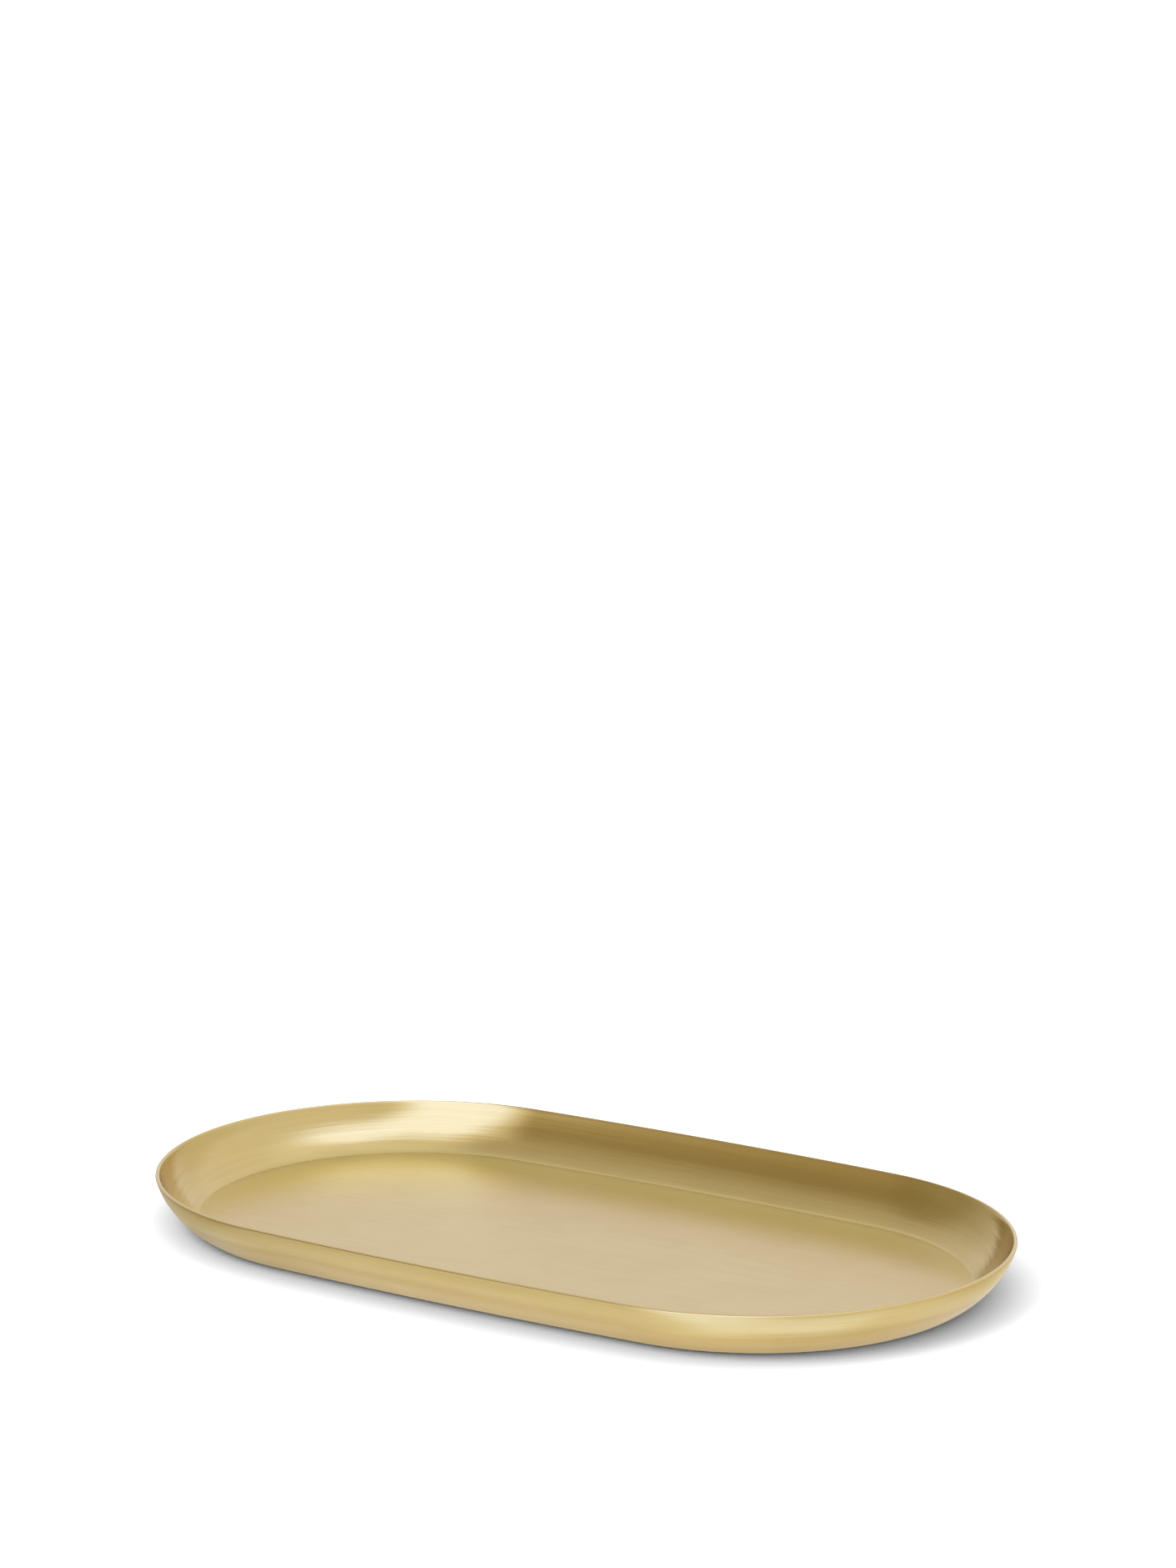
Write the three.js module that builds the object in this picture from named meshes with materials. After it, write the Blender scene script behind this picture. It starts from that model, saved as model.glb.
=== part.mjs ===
// Small oval tray, pressed from one piece of brass sheet: a flat floor, a wall that flares up in
// a hollow curve all round, and a rim cut square to the sheet.
// Millimetres, +Z up, the long side along X, the middle of the underside at the origin.

import * as THREE from 'three';

// Overall sizes, over the outside
const trayLength = 230;
const trayWidth = 130;
const trayHeight = 12.5;

// The plan: how far each long side swells out beyond the width of the round ends
const sideBow = 1.2;

// The sheet and the wall's section
const sheetThickness = 1;
const wallRun = 10; // level distance from the top of the wall's inside to the flat floor
const rimSlope = THREE.MathUtils.degToRad(72); // how steeply the wall ends at the rim
const floorBend = 2.5; // inside radius where the floor turns up into the wall
const rimEasing = 0.3; // radius on the rim's two corners

// Facets along each arc
const endSteps = 40;
const sideSteps = 8;
const bendSteps = 3;
const wallSteps = 8;
const easingSteps = 2;

function arcPoints(centre, radius, from, to, steps) {
  const clockwise = to < from;
  return new THREE.EllipseCurve(centre.x, centre.y, radius, radius, from, to, clockwise).getPoints(steps);
}

function along(angle, distance) {
  return new THREE.Vector2(Math.cos(angle), Math.sin(angle)).multiplyScalar(distance);
}

// The plan outline, set out by a distance: two round ends and two long sides, four arcs that run
// into each other. Only the radii grow with the distance, so the wall's section stays the same
// all the way round. The points go round anticlockwise, seen from above.
function outline(outset) {
  const halfWidth = trayWidth / 2;
  const endRadius = halfWidth - sideBow;
  const endCentre = trayLength / 2 - endRadius;
  const sideRadius = (endCentre ** 2 + halfWidth ** 2 - endRadius ** 2) / (2 * sideBow);
  const sideCentre = sideRadius - halfWidth;
  const joinAngle = Math.atan2(sideCentre, endCentre);

  const arcs = [
    [new THREE.Vector2(endCentre, 0), endRadius, -joinAngle, joinAngle, endSteps],
    [new THREE.Vector2(0, -sideCentre), sideRadius, joinAngle, Math.PI - joinAngle, sideSteps],
    [new THREE.Vector2(-endCentre, 0), endRadius, Math.PI - joinAngle, Math.PI + joinAngle, endSteps],
    [new THREE.Vector2(0, sideCentre), sideRadius, Math.PI + joinAngle, 2 * Math.PI - joinAngle, sideSteps],
  ];
  return arcs.flatMap(([centre, radius, from, to, steps]) =>
    arcPoints(centre, radius + outset, from, to, steps).slice(0, -1));
}

// The wall's section, with x outwards from the rim's outermost line and y up. It runs from the
// underside out round the bend, up the wall's outside, over the rim, down the inside and back to
// the floor. The wall is one arc that ends at the rim with the rim's slope and runs into the bend.
function wallSection() {
  const down = -Math.PI / 2;
  const acrossRim = rimSlope + Math.PI / 2;

  const rimFlat = sheetThickness - 2 * rimEasing;
  const outerCorner = new THREE.Vector2(-rimEasing, trayHeight - rimEasing - rimFlat * Math.cos(rimSlope));
  const innerCorner = outerCorner.clone().add(along(acrossRim, rimFlat));
  const wallTop = innerCorner.clone().add(along(acrossRim, rimEasing));

  // The chord from the bend's centre to the wall's top, set in by the bend, gives the wall's arc
  const bendCentre = new THREE.Vector2(wallTop.x - wallRun, sheetThickness + floorBend);
  const chord = wallTop.clone().add(along(acrossRim, floorBend)).sub(bendCentre);
  const footSlope = 2 * chord.angle() - rimSlope;
  const wallRadius = floorBend + chord.length() / (2 * Math.sin((rimSlope - footSlope) / 2));
  const wallCentre = wallTop.clone().add(along(acrossRim, wallRadius));

  const arcs = [
    [bendCentre, floorBend + sheetThickness, down, down + footSlope, bendSteps],
    [wallCentre, wallRadius + sheetThickness, down + footSlope, down + rimSlope, wallSteps],
    [outerCorner, rimEasing, down + rimSlope, rimSlope, easingSteps],
    [innerCorner, rimEasing, rimSlope, acrossRim, easingSteps],
    [wallCentre, wallRadius, down + rimSlope, down + footSlope, wallSteps],
    [bendCentre, floorBend, down + footSlope, down, bendSteps],
  ];
  const points = arcs.flatMap(([centre, radius, from, to, steps]) =>
    arcPoints(centre, radius, from, to, steps));
  const samePoint = 1e-6;
  return points.filter((point, i) => i === 0 || point.distanceTo(points[i - 1]) > samePoint);
}

// The sheet: one ring of points for each point of the section, joined row by row, and closed by
// the flat underside inside the first ring and the flat floor inside the last.
function sheetGeometry() {
  const section = wallSection();
  const rings = section.map((point) => outline(point.x).map((spot) => [spot.x, spot.y, point.y]));
  const ringSize = rings[0].length;
  const faces = [];

  for (let row = 0; row < rings.length - 1; row++) {
    for (let i = 0; i < ringSize; i++) {
      const here = row * ringSize + i;
      const next = row * ringSize + (i + 1) % ringSize;
      faces.push(here, next, next + ringSize);
      faces.push(here, next + ringSize, here + ringSize);
    }
  }

  const floorRing = (rings.length - 1) * ringSize;
  for (const [a, b, c] of THREE.ShapeUtils.triangulateShape(outline(section[0].x), [])) {
    faces.push(a, c, b);
    faces.push(floorRing + a, floorRing + b, floorRing + c);
  }

  const geometry = new THREE.BufferGeometry();
  geometry.setAttribute('position', new THREE.Float32BufferAttribute(rings.flat(2), 3));
  geometry.setIndex(faces);
  geometry.computeVertexNormals();
  return geometry;
}

const brushedBrass = new THREE.MeshStandardMaterial({ color: 0xcdb077, metalness: 1, roughness: 0.35 });

const tray = new THREE.Mesh(sheetGeometry(), brushedBrass);
tray.name = 'tray';

const ovalTray = new THREE.Group();
ovalTray.add(tray);

export default ovalTray;
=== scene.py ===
import math
import bpy
from mathutils import Matrix, Vector


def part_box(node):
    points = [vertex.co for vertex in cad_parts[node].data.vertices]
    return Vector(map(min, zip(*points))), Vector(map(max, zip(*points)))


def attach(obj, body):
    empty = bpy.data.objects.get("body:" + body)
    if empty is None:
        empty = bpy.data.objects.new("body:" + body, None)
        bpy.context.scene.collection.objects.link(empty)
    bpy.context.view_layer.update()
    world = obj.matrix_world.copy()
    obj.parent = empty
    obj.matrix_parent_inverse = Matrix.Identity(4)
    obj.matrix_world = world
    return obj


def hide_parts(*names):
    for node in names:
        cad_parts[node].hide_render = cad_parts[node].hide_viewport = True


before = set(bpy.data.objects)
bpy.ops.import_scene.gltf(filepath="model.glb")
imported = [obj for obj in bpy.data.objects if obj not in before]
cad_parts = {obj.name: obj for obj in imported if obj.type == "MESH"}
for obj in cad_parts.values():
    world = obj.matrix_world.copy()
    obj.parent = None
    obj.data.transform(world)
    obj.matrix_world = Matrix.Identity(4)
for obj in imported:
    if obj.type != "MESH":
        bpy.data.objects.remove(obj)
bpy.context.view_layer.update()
trayLow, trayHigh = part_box("tray")
print("frame loaded, tray is", [round(side * 1000, 2) for side in trayHigh - trayLow], "mm")


# Node trees: Wire is a socket that sums can be written with, Bench lays out the nodes

class Wire:
    def __init__(self, bench, socket):
        self.bench = bench
        self.socket = socket

    def pick(self, name):  # another output of the same node
        outputs = [out for out in self.socket.node.outputs if out.enabled and out.name == name]
        return Wire(self.bench, outputs[0])

    def __add__(self, other):
        return self.bench.sum("ADD", self, other)

    def __sub__(self, other):
        return self.bench.sum("SUBTRACT", self, other)

    def __rsub__(self, other):
        return self.bench.sum("SUBTRACT", other, self)

    def __mul__(self, other):
        return self.bench.sum("MULTIPLY", self, other)

    __radd__ = __add__
    __rmul__ = __mul__

    def rise(self, low, high):  # 0 below low, 1 above high, smooth between
        return self.bench.node("ShaderNodeMapRange", {"interpolation_type": "SMOOTHSTEP"},
                               {"Value": self, "From Min": low, "From Max": high})

    def band(self, low, high, blur):  # 1 between low and high, with blurred edges
        return self.rise(low - blur / 2, low + blur / 2) * (1 - self.rise(high - blur / 2, high + blur / 2))

    def reaches(self, count):  # 1 once a whole number is as large as count
        return self.rise(count - 0.6, count - 0.4)


class Bench:
    def __init__(self, tree):
        self.tree = tree
        tree.nodes.clear()

    def node(self, kind, settings=None, sockets=None):
        node = self.tree.nodes.new(kind)
        for name, value in (settings or {}).items():
            if name == "stops":
                self.setStops(node.color_ramp, value)
            else:
                setattr(node, name, value)
        for name, value in (sockets or {}).items():
            socket = self.findInput(node, name)
            if isinstance(value, Wire):
                self.tree.links.new(value.socket, socket)
            else:
                socket.default_value = value
        shown = [out for out in node.outputs if out.enabled]
        return Wire(self, shown[0]) if shown else node

    def findInput(self, node, name):
        if isinstance(name, int):
            return node.inputs[name]
        return next(socket for socket in node.inputs if socket.enabled and socket.name == name)

    def setStops(self, ramp, stops):
        while len(ramp.elements) < len(stops):
            ramp.elements.new(0.5)
        for element, (place, colour) in zip(ramp.elements, stops):
            element.position = place
            element.color = (*colour, 1)

    def sum(self, operation, *values):  # one Math node
        return self.node("ShaderNodeMath", {"operation": operation}, dict(enumerate(values)))

    def vector(self, x, y, z):
        return self.node("ShaderNodeCombineXYZ", {}, {"X": x, "Y": y, "Z": z})

    def mix(self, share, first, second, way="MIX"):  # colours
        settings = {"data_type": "RGBA", "blend_type": way}
        return self.node("ShaderNodeMix", settings, {"Factor": share, "A": first, "B": second})

    def noise(self, where, scale, detail, roughness):
        return self.node("ShaderNodeTexNoise", {"noise_dimensions": "3D"},
                         {"Vector": where, "Scale": scale, "Detail": detail, "Roughness": roughness})


def newMaterial(name):
    material = bpy.data.materials.new(name)
    material.use_nodes = True
    return material, Bench(material.node_tree)


# The tray: one sheet, drawn as the wall's section carried round the outline

tray = {
    "length": trayHigh.x - trayLow.x,
    "width": trayHigh.y - trayLow.y,
    "height": trayHigh.z - trayLow.z,
    "sheet": 0.001,
    "sideBow": 0.0012,       # how far the long sides swell past the round ends
    "wallRun": 0.010,        # level distance from the top of the wall's inside to the flat floor
    "rimSlope": 72,          # degrees
    "floorBend": 0.0025,     # inside radius
    "rimEasing": 0.0003,     # radius on the rim's two corners
    "endSteps": 120,
    "sideSteps": 48,
    "bendSteps": 10,
    "wallSteps": 28,
    "easingSteps": 5,
    "acrossSteps": 24,       # over the floor, from one long side to the other
    "samePoint": 1e-7,       # two points closer than this are one
}


def arcPoints(centre, radius, start, end, steps):
    angles = [start + (end - start) * i / steps for i in range(steps + 1)]
    return [centre + radius * Vector((math.cos(a), math.sin(a))) for a in angles]


def outline(outset):
    halfWidth = tray["width"] / 2
    endRadius = halfWidth - tray["sideBow"]
    endCentre = tray["length"] / 2 - endRadius
    sideRadius = (endCentre ** 2 + halfWidth ** 2 - endRadius ** 2) / (2 * tray["sideBow"])
    sideCentre = sideRadius - halfWidth
    join = math.atan2(sideCentre, endCentre)
    arcs = (
        (Vector((endCentre, 0)), endRadius, -join, join, tray["endSteps"]),
        (Vector((0, -sideCentre)), sideRadius, join, math.pi - join, tray["sideSteps"]),
        (Vector((-endCentre, 0)), endRadius, math.pi - join, math.pi + join, tray["endSteps"]),
        (Vector((0, sideCentre)), sideRadius, math.pi + join, 2 * math.pi - join, tray["sideSteps"]),
    )
    points = []
    for centre, radius, start, end, steps in arcs:
        points += arcPoints(centre, radius + outset, start, end, steps)[:-1]
    return points


def wallSection():  # x outwards from the rim's outermost line, y up
    slope = math.radians(tray["rimSlope"])
    down, across = -math.pi / 2, slope + math.pi / 2
    easing, bend, sheet = tray["rimEasing"], tray["floorBend"], tray["sheet"]
    acrossRim = Vector((math.cos(across), math.sin(across)))
    outerCorner = Vector((-easing, tray["height"] - easing - (sheet - 2 * easing) * math.cos(slope)))
    innerCorner = outerCorner + (sheet - 2 * easing) * acrossRim
    wallTop = innerCorner + easing * acrossRim
    bendCentre = Vector((wallTop.x - tray["wallRun"], sheet + bend))
    chord = wallTop + bend * acrossRim - bendCentre
    foot = 2 * math.atan2(chord.y, chord.x) - slope
    wallRadius = bend + chord.length / (2 * math.sin((slope - foot) / 2))
    wallCentre = wallTop + wallRadius * acrossRim
    arcs = (
        (bendCentre, bend + sheet, down, down + foot, tray["bendSteps"]),
        (wallCentre, wallRadius + sheet, down + foot, down + slope, tray["wallSteps"]),
        (outerCorner, easing, down + slope, slope, tray["easingSteps"]),
        (innerCorner, easing, slope, across, tray["easingSteps"]),
        (wallCentre, wallRadius, down + slope, down + foot, tray["wallSteps"]),
        (bendCentre, bend, down + foot, down, tray["bendSteps"]),
    )
    points = []
    for arc in arcs:
        for point in arcPoints(*arc):
            if not points or (point - points[-1]).length > tray["samePoint"]:
                points.append(point)
    return points


def floorGrid(vertices, faces, ring, start, upwards):
    # the flat inside a ring: each point on one long side is joined to its mirror point
    count, steps = len(ring), tray["acrossSteps"]
    first = tray["endSteps"] // 2                        # the tip of the right-hand end
    half = count // 2
    columns = []
    for i in range(1, half):
        top, bottom = (first + i) % count, (first - i) % count
        column = [start + top]
        height = vertices[start + top][2]
        for k in range(1, steps):
            spot = ring[top].lerp(ring[bottom], k / steps)
            column.append(len(vertices))
            vertices.append((spot.x, spot.y, height))
        columns.append(column + [start + bottom])
    tips = (start + first, start + (first + half) % count)
    for tip, column in ((tips[0], columns[0]), (tips[1], columns[-1][::-1])):
        for here, after in zip(column, column[1:]):
            faces.append((tip, here, after) if upwards else (tip, after, here))
    for left, right in zip(columns, columns[1:]):
        for k in range(steps):
            face = (left[k], right[k], right[k + 1], left[k + 1])
            faces.append(face if upwards else face[::-1])


def makeTray():
    section = wallSection()
    vertices, faces, acrossSheet = [], [], []
    travelled, rings = 0.0, []
    for row, point in enumerate(section):
        ring = outline(point.x)
        rings.append(ring)
        vertices += [(spot.x, spot.y, point.y) for spot in ring]
        travelled += (point - section[row - 1]).length if row else 0.0
        acrossSheet += [travelled] * len(ring)
        if point.x > -tray["samePoint"]:
            tray["rimAt"] = travelled                    # the rim's outermost line
    tray["floorAt"] = travelled
    count = len(rings[0])
    for row in range(len(section) - 1):
        for i in range(count):
            here, after = row * count + i, row * count + (i + 1) % count
            faces.append((here, after, after + count, here + count))
    floorGrid(vertices, faces, rings[0], 0, False)
    acrossSheet += [0.0] * (len(vertices) - len(acrossSheet))
    floorGrid(vertices, faces, rings[-1], (len(section) - 1) * count, True)
    acrossSheet += [travelled] * (len(vertices) - len(acrossSheet))

    mesh = bpy.data.meshes.new("oval_tray")
    mesh.from_pydata(vertices, [], faces)
    mesh.validate()
    mesh.attributes.new("acrossSheet", "FLOAT", "POINT").data.foreach_set("value", acrossSheet)
    mesh.shade_smooth()
    mesh.update()
    sheet = bpy.data.objects.new("oval_tray", mesh)
    bpy.context.scene.collection.objects.link(sheet)
    print("tray made,", len(faces), "faces")
    return sheet


brass = {
    "colour": (0.69, 0.52, 0.215),
    "deepColour": (0.64, 0.465, 0.175),   # in the streaks and the faint blotches
    "streakTone": (0.35, 0.75),           # the levels of the noise between which a streak darkens
    "streakShare": 0.5,
    "hazeTone": (0.35, 0.7),              # the same for the blotches
    "hazeShare": 0.35,
    "edgeWearAndHighlight": (0.73, 0.55, 0.26),     # the rim, rubbed by hands, and lighter in part as a painted highlight along it
    "edgeShare": 0.6,
    "edgeCleared": 0.7,                   # how much of the deep colour the rubbing took off
    "edgeSmoothed": 0.6,                  # and how much of the streaks' depth
    "edgeFade": (0.0005, 0.0013),         # from the middle of the rim
    "roughness": 0.16,
    "floorRoughness": 0.245,
    "edgeRoughness": 0.22,
    "creaseRoughness": 0.30,              # where the wall bends into the floor
    "creaseUp": 0.0007,                   # from the flat floor up the wall to the middle of that crease
    "creaseFade": (0.0004, 0.002),
    "streakRoughness": 0.08,
    "hazeRoughness": 0.05,
    "brushingMeets": 0.0012,              # over this width one direction of brushing turns into the other
    "streaksPerMetre": (1200, 32),        # across and along the brushing
    "streakNoise": (4.0, 0.65),           # detail and roughness
    "floorStreaksAt": 7.0,                # the level in the noise that the floor's streaks are taken from
    "streakDepth": 0.00005,
    "floorStreakDepth": 0.00001,
    "wavesPerMetre": (380, 14),           # broad unevenness of the hand that held the brush
    "waveNoise": (1.0, 0.5),
    "waveDepth": 0.00007,
    "hazePerMetre": 55,
    "hazeNoise": (3.0, 0.6),
    "lacquer": 0.35,
    "lacquerRoughness": 0.16,
}


def brushedBrass():
    material, bench = newMaterial("brushedBrass")
    place = bench.node("ShaderNodeTexCoord").pick("Object")
    across = bench.node("ShaderNodeAttribute", {"attribute_name": "acrossSheet"}).pick("Fac")
    parts = bench.node("ShaderNodeSeparateXYZ", {}, {"Vector": place})
    x, y = parts.pick("X"), parts.pick("Y")

    # brushed along the outline on the wall, and along the tray on its floor and underside
    meets = brass["brushingMeets"]
    onFlat = across.rise(tray["floorAt"] - meets, tray["floorAt"]) + (1 - across.rise(0, meets))
    fine, coarse = brass["streaksPerMetre"]
    roundWall = bench.vector(across * fine, x * coarse, y * coarse)
    alongFloor = bench.vector(y * fine, x * coarse, brass["floorStreaksAt"])
    wallStreaks = bench.noise(roundWall, 1.0, *brass["streakNoise"])
    floorStreaks = bench.noise(alongFloor, 1.0, *brass["streakNoise"])
    streaks = wallStreaks * (1 - onFlat) + floorStreaks * onFlat
    broad, long = brass["wavesPerMetre"]
    waves = bench.noise(bench.vector(across * broad, x * long, y * long), 1.0, *brass["waveNoise"])
    haze = bench.noise(place, brass["hazePerMetre"], *brass["hazeNoise"])

    fromRim = bench.sum("ABSOLUTE", across - tray["rimAt"] - tray["sheet"] / 2)
    rim = 1 - fromRim.rise(*brass["edgeFade"])
    fromCrease = bench.sum("ABSOLUTE", across - tray["floorAt"] + brass["creaseUp"])
    crease = 1 - fromCrease.rise(*brass["creaseFade"])

    deepStreaks = streaks.rise(*brass["streakTone"]) * brass["streakShare"]
    deepHaze = haze.rise(*brass["hazeTone"]) * brass["hazeShare"]
    deep = (deepStreaks + deepHaze) * (1 - rim * brass["edgeCleared"])
    colour = bench.mix(deep, (*brass["colour"], 1), (*brass["deepColour"], 1))
    # the rim lighter: wear from rubbing, and in part a painted highlight
    colour = bench.mix(rim * brass["edgeShare"], colour, (*brass["edgeWearAndHighlight"], 1))

    roughness = brass["roughness"] + onFlat * (brass["floorRoughness"] - brass["roughness"])
    roughness = roughness + (streaks - 0.5) * brass["streakRoughness"] + (haze - 0.5) * brass["hazeRoughness"]
    roughness = roughness + rim * (brass["edgeRoughness"] - brass["roughness"])
    roughness = roughness + crease * (brass["creaseRoughness"] - brass["floorRoughness"])

    shallower = 1 - brass["floorStreakDepth"] / brass["streakDepth"]
    depth = (1 - rim * brass["edgeSmoothed"]) * (1 - onFlat * shallower)
    height = streaks * depth * brass["streakDepth"] + waves * brass["waveDepth"] * (1 - onFlat) * (1 - rim)
    bump = bench.node("ShaderNodeBump", {}, {"Height": height, "Distance": 1.0, "Strength": 1.0})
    shader = bench.node("ShaderNodeBsdfPrincipled", {}, {
        "Base Color": colour, "Metallic": 1.0, "Roughness": roughness, "Normal": bump,
        "Coat Weight": brass["lacquer"], "Coat Roughness": brass["lacquerRoughness"]})
    bench.node("ShaderNodeOutputMaterial", {}, {"Surface": shader})
    return material


sheet = makeTray()
sheet.data.materials.append(brushedBrass())
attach(sheet, "root")
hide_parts("tray")


# The studio: a white floor in a white room, a large softbox to the front right and a dark front left

diagonal = 0.7                # the X share and the Y share of a direction halfway between them

whiteFloor = {
    "size": 30.0,
    "colour": 0.85,
    "openColour": 0.45,                    # added for the camera alone, so that the floor is white
    # the rest is how the metal shows the floor; its tint and dimming by place are painted shade round the
    # tray
    "glow": 1.03,
    "light": 0.15,                         # its share of the light that falls on the floor
    "gloss": 0.34,                         # how much of the softbox the floor throws on
    "glossRoughness": 0.18,
    "glossColour": (0.80, 0.80, 0.80),
    "shallowGloss": (0.72, 0.63, 0.38),    # the same where the light skims the floor
    "shallowFrom": (0.25, 0.5),            # 0 is straight down and 1 along the floor
    "shadeAndBounceByTheTray": (0.78, 0.71, 0.52),       # the glow's colour close to the tray: painted contact shade and brass-coloured bounce light
    "byTheTrayWidth": 0.006,
    "offLeft": 1.0,                        # how much of that painted shade there is off the left end
    "offLeftFrom": (-0.090, -0.066),
    "offRight": 0.22,
    "offRightFrom": (0.030, 0.050),        # towards the back right
    "offBack": 0.75,                       # more of it past the right end's back
    "offBackFrom": (0.074, 0.098),
    "leftDimmed": 0.50,                    # the glow's strength off the left end, dimmed as painted shade
    "leftDimmedFrom": (-0.15, -0.005),
    "furtherDimmed": 0.10,                 # how much weaker its painted light is a little way from the tray
    "furtherDimmedFrom": (0.010, 0.020),
    "footBlur": 0.001,
}


def floorInMetal(bench):  # colour and strength of the floor's glow by the place, with painted shade round the tray, and 1 beneath the tray
    place = bench.node("ShaderNodeTexCoord").pick("Object")
    parts = bench.node("ShaderNodeSeparateXYZ", {}, {"Vector": place})
    x, y = parts.pick("X"), parts.pick("Y")
    endRadius = tray["width"] / 2 - tray["wallRun"] - tray["sheet"]
    pastMiddle = bench.sum("ABSOLUTE", x) - (tray["length"] - tray["width"]) / 2
    around = bench.vector(bench.sum("MAXIMUM", pastMiddle, 0.0), y, 0.0)
    fromMiddle = bench.node("ShaderNodeVectorMath", {"operation": "LENGTH"}, {0: around}).pick("Value")
    fromFoot = fromMiddle - endRadius
    toBackRight = (x + y) * diagonal
    # painted shade reaching out off the left end and towards the back right
    away = (1 - x.rise(*whiteFloor["offLeftFrom"])) * whiteFloor["offLeft"]
    away = away + toBackRight.rise(*whiteFloor["offRightFrom"]) * whiteFloor["offRight"]
    away = away + toBackRight.rise(*whiteFloor["offBackFrom"]) * whiteFloor["offBack"]
    # the glow tinted darker and warmer near the foot: painted contact shade and bounce light
    untinted = fromFoot.rise(0, whiteFloor["byTheTrayWidth"]) * (1 - away)
    tint = bench.mix(untinted, (*whiteFloor["shadeAndBounceByTheTray"], 1), (1, 1, 1, 1))
    # painted light and shade: the glow is dimmed off the left end and a little way out from the tray
    dimmed = whiteFloor["leftDimmed"]
    strength = dimmed + x.rise(*whiteFloor["leftDimmedFrom"]) * (1 - dimmed)
    strength = strength * (1 - fromFoot.rise(*whiteFloor["furtherDimmedFrom"]) * whiteFloor["furtherDimmed"])
    beneath = 1 - fromFoot.rise(-whiteFloor["footBlur"], 0)
    return tint, strength, beneath


def makeFloor():
    half = whiteFloor["size"] / 2
    mesh = bpy.data.meshes.new("floor")
    corners = [(-half, -half, 0), (half, -half, 0), (half, half, 0), (-half, half, 0)]
    mesh.from_pydata(corners, [], [(0, 1, 2, 3)])
    floor = bpy.data.objects.new("floor", mesh)
    bpy.context.scene.collection.objects.link(floor)
    material, bench = newMaterial("whiteFloor")
    path = bench.node("ShaderNodeLightPath")
    camera = path.pick("Is Camera Ray")
    glossy = path.pick("Is Glossy Ray") + path.pick("Is Transmission Ray")
    firstHand = 1 - path.pick("Diffuse Depth").reaches(1)     # not light off the tray onto the floor
    level = whiteFloor["colour"] + camera * whiteFloor["openColour"]
    level = level * firstHand * (1 - glossy * (1 - whiteFloor["light"]))
    grey = bench.node("ShaderNodeCombineColor", {}, {"Red": level, "Green": level, "Blue": level})
    lit = bench.node("ShaderNodeBsdfDiffuse", {}, {"Color": grey})
    # the glow that the metal sees carries the painted shade round the tray
    tint, strength, beneath = floorInMetal(bench)
    strength = glossy * firstHand * whiteFloor["glow"] * strength
    glow = bench.node("ShaderNodeEmission", {}, {"Color": tint, "Strength": strength})
    both = bench.node("ShaderNodeAddShader", {}, {0: lit, 1: glow})
    facing = bench.node("ShaderNodeLayerWeight", {}, {"Blend": 0.5}).pick("Facing")
    shallow = facing.rise(*whiteFloor["shallowFrom"])
    thrown = bench.mix(shallow, (*whiteFloor["glossColour"], 1), (*whiteFloor["shallowGloss"], 1))
    mirror = bench.node("ShaderNodeBsdfAnisotropic", {},
                        {"Color": thrown, "Roughness": whiteFloor["glossRoughness"]})
    share = glossy * firstHand * whiteFloor["gloss"]
    seen = bench.node("ShaderNodeMixShader", {}, {0: share, 1: both, 2: mirror})
    # open from below, and to the metal beneath the tray, so that the underside shows in the room's light
    fromBelow = bench.node("ShaderNodeNewGeometry").pick("Backfacing")
    opened = bench.sum("MAXIMUM", fromBelow, glossy * beneath)
    seeThrough = bench.node("ShaderNodeBsdfTransparent")
    seen = bench.node("ShaderNodeMixShader", {}, {0: opened, 1: seen, 2: seeThrough})
    bench.node("ShaderNodeOutputMaterial", {}, {"Surface": seen})
    mesh.materials.append(material)


# The room as the metal reflects it: light by azimuth in degrees, 0 towards -Y and 90 towards +X

softbox = (1.45, 1.71, 2.75)
softboxEdge = (1.03, 1.07, 1.13)
acrossSoftbox = (
    (-32, (0.43, 0.36, 0.22)), (-27, (0.72, 0.68, 0.54)), (-20, softboxEdge), (-13, softbox),
    (26, softbox), (38, softboxEdge), (46, (0.85, 0.83, 0.77)),
)
horizon = (
    (-180, (0.83, 0.82, 0.80)), (-150, (0.92, 0.93, 1.02)), (-120, (0.74, 0.73, 0.75)),
    (-100, (0.55, 0.53, 0.49)), (-80, (0.39, 0.36, 0.24)), (-48, (0.39, 0.35, 0.23)), *acrossSoftbox,
    (105, (0.86, 0.86, 0.85)), (130, (0.79, 0.79, 0.73)), (165, (0.76, 0.73, 0.62)),
    (180, (0.83, 0.82, 0.80)),
)
wallsOfRoom = (
    (-180, (0.90, 0.90, 0.92)), (-150, (0.89, 0.88, 0.92)), (-120, (0.74, 0.74, 0.79)),
    (-100, (0.59, 0.59, 0.57)), (-80, (0.38, 0.34, 0.23)), (-46, (0.33, 0.28, 0.17)), *acrossSoftbox,
    (75, (0.90, 0.90, 0.90)), (105, (0.88, 0.90, 0.91)), (150, (0.91, 0.92, 0.95)),
    (180, (0.90, 0.90, 0.92)),
)
ceiling = (
    (-180, (0.88, 0.92, 0.91)), (-130, (0.76, 0.83, 0.86)), (-112, (0.66, 0.69, 0.65)),
    (-80, (0.58, 0.57, 0.53)), (-50, (0.56, 0.54, 0.44)), (-38, (0.80, 0.78, 0.70)),
    (-18, (1.08, 1.14, 1.25)), (-9, softbox), (102, softbox), (124, (1.06, 1.10, 1.20)),
    (180, (0.88, 0.92, 0.91)),
)

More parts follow.
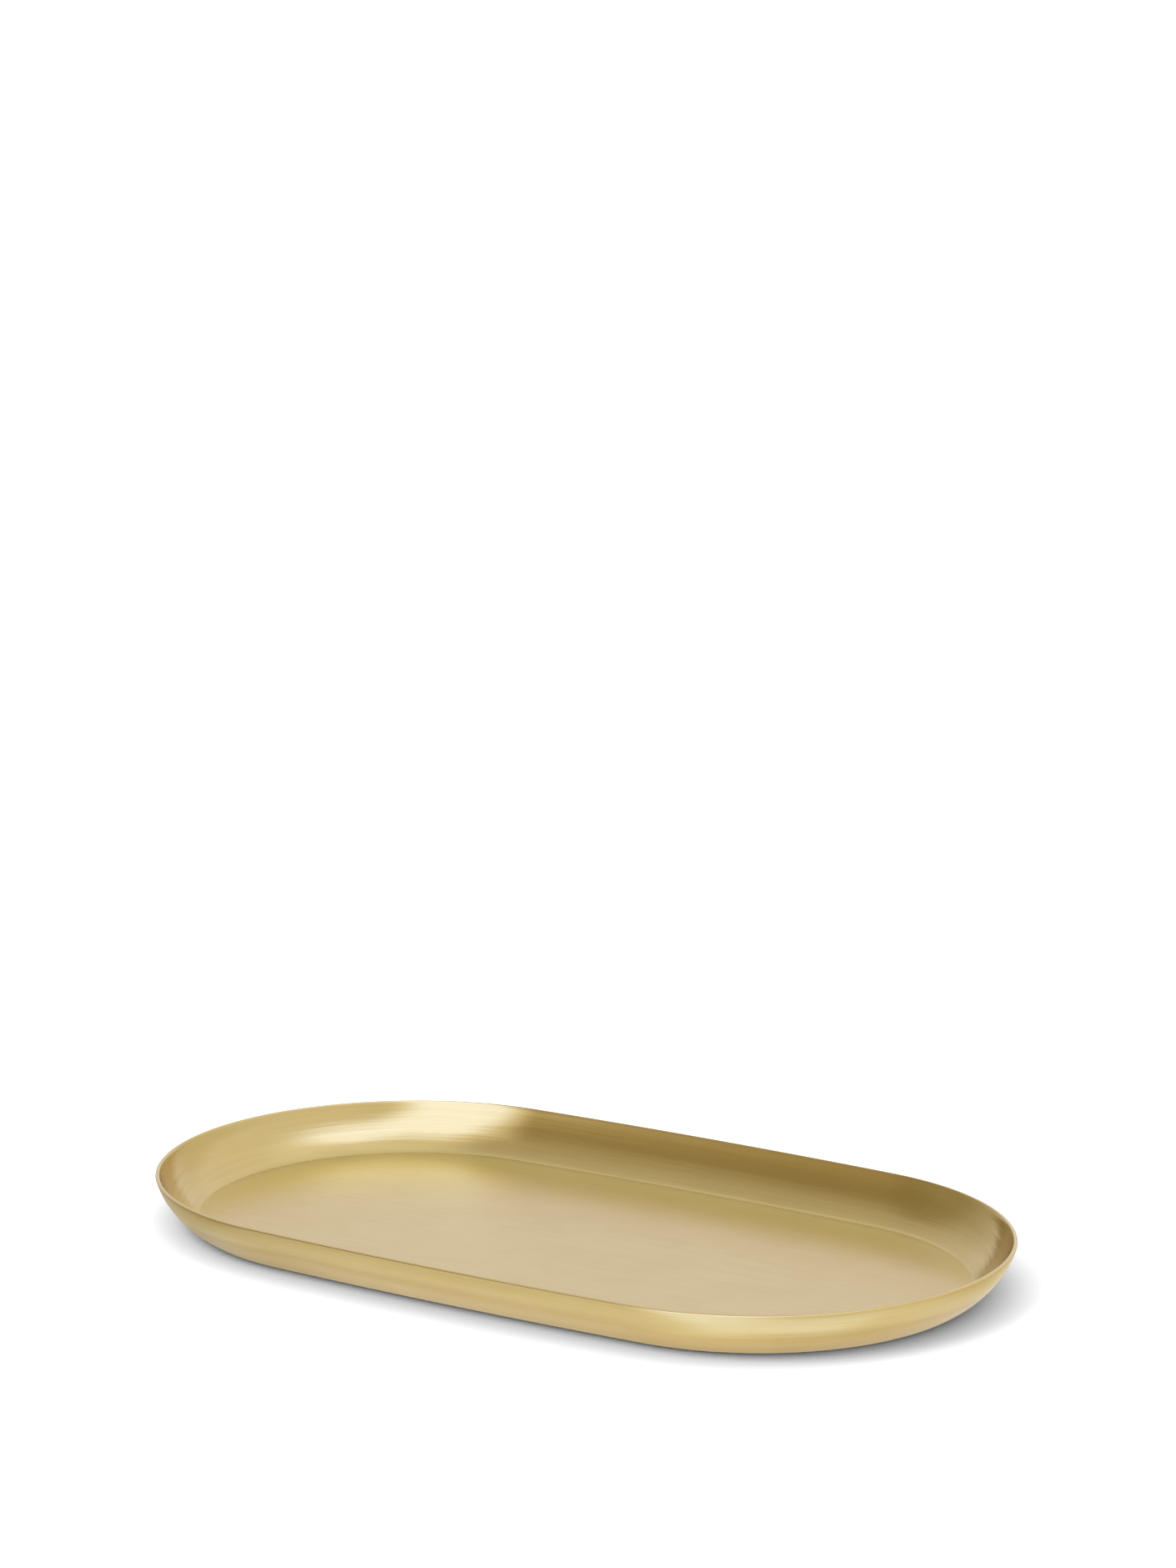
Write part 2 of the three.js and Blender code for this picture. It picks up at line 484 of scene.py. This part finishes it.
room = {
    "overhead": (0.94, 0.96, 0.97),
    "wallsFrom": (14, 28),                 # degrees of elevation over which each light takes over
    "ceilingFrom": (40, 62),
    "overheadFrom": (68, 83),
    "cornerCut": (10, 45, 30),             # two azimuths and a blur: there the softbox's corner is cut off
    "cornerDrop": 12,                      # by so many degrees
    "seenAgain": (1.08, 1.20, 1.16),       # changes light that reaches the metal off another face of the tray
    "seenAgainLeft": (1.39, 1.62, 1.92),   # the same from the front left and from high up
    "seenAgainFrom": (14, 40),
    "frontLeftFrom": (0, 0.5),             # share of the direction that points there
    "highUpFrom": (62, 80),
}


def ringOfLight(bench, azimuth, stops):
    places = [((degrees + 180) / 360, colour) for degrees, colour in stops]
    return bench.node("ShaderNodeValToRGB", {"stops": places}, {"Fac": azimuth * (1 / 360) + 0.5})


def makeRoom():
    world = bpy.data.worlds.new("room")
    world.use_nodes = True
    bpy.context.scene.world = world
    bench = Bench(world.node_tree)
    toSky = bench.node("ShaderNodeTexCoord").pick("Generated")
    parts = bench.node("ShaderNodeSeparateXYZ", {}, {"Vector": toSky})
    x, y, z = parts.pick("X"), parts.pick("Y"), parts.pick("Z")
    azimuth = bench.sum("ARCTAN2", x, y * -1) * (180 / math.pi)
    elevation = bench.sum("ARCSINE", z) * (180 / math.pi)
    seen = bench.mix(elevation.rise(*room["wallsFrom"]), ringOfLight(bench, azimuth, horizon),
                     ringOfLight(bench, azimuth, wallsOfRoom))
    leaning = elevation + azimuth.band(*room["cornerCut"]) * room["cornerDrop"]
    seen = bench.mix(leaning.rise(*room["ceilingFrom"]), seen, ringOfLight(bench, azimuth, ceiling))
    seen = bench.mix(elevation.rise(*room["overheadFrom"]), seen, (*room["overhead"], 1))

    path = bench.node("ShaderNodeLightPath")
    toFrontLeft = (x + y) * -diagonal
    left = bench.sum("MAXIMUM", toFrontLeft.rise(*room["frontLeftFrom"]), elevation.rise(*room["highUpFrom"]))
    again = bench.mix(left, (*room["seenAgain"], 1), (*room["seenAgainLeft"], 1))
    again = bench.mix(1, seen, again, "MULTIPLY")
    againShare = path.pick("Glossy Depth").reaches(2) * elevation.rise(*room["seenAgainFrom"])
    seen = bench.mix(againShare, seen, again)
    thrownBack = path.pick("Diffuse Depth").reaches(1)        # light off the tray onto the floor
    seen = bench.mix(thrownBack, seen, (0, 0, 0, 1))

    glossy = path.pick("Is Glossy Ray") + path.pick("Is Transmission Ray")
    colour = bench.mix(glossy, (1, 1, 1, 1), seen)
    light = bench.node("ShaderNodeBackground", {}, {"Color": colour, "Strength": 1.0})
    bench.node("ShaderNodeOutputWorld", {}, {"Surface": light})


keyLight = {"azimuth": -22, "elevation": 44, "distance": 1.2, "size": 0.7, "watts": 3.6}


def directionTo(azimuth, elevation):  # azimuth 0 is towards -Y, 90 towards +X
    turned, raised = math.radians(azimuth), math.radians(elevation)
    level = math.cos(raised)
    return Vector((math.sin(turned) * level, -math.cos(turned) * level, math.sin(raised)))


def makeKeyLight():  # it clears the floor in front and leans the shadow back, and the metal doesn't show it
    lamp = bpy.data.lights.new("keyLight", "AREA")
    lamp.shape = "DISK"
    lamp.size = keyLight["size"]
    lamp.energy = keyLight["watts"]
    holder = bpy.data.objects.new("keyLight", lamp)
    towards = directionTo(keyLight["azimuth"], keyLight["elevation"])
    holder.location = towards * keyLight["distance"]
    holder.rotation_mode = "QUATERNION"
    holder.rotation_quaternion = (-towards).to_track_quat("-Z", "Y")
    holder.visible_camera = False
    holder.visible_glossy = False
    bpy.context.scene.collection.objects.link(holder)


makeFloor()
makeRoom()
makeKeyLight()
print("studio lit")


# The camera: it looks over the tray at a point above it

camera = {
    "azimuth": 33.12,
    "elevation": 12.09,
    "distance": 1.2403,
    "aimRight": 0.0027,       # from the middle of the rim
    "aimUp": 0.1031,
    "lens": 114.9,
    "sensor": 36.0,
    "clip": (0.05, 100),
}


def placeCamera():
    data = bpy.data.cameras.new("camera")
    data.lens = camera["lens"]
    data.sensor_width = camera["sensor"]
    data.clip_start, data.clip_end = camera["clip"]
    holder = bpy.data.objects.new("camera", data)
    back = directionTo(camera["azimuth"], camera["elevation"])
    right = Vector((0, 0, 1)).cross(back).normalized()
    up = back.cross(right)
    rimMiddle = Vector((0, 0, trayHigh.z))
    aim = rimMiddle + right * camera["aimRight"] + up * camera["aimUp"]
    turn = Matrix((right, up, back)).transposed().to_4x4()
    holder.matrix_world = Matrix.Translation(aim + back * camera["distance"]) @ turn
    bpy.context.scene.collection.objects.link(holder)
    bpy.context.scene.camera = holder


placeCamera()
bpy.context.scene.view_settings.view_transform = "Standard"
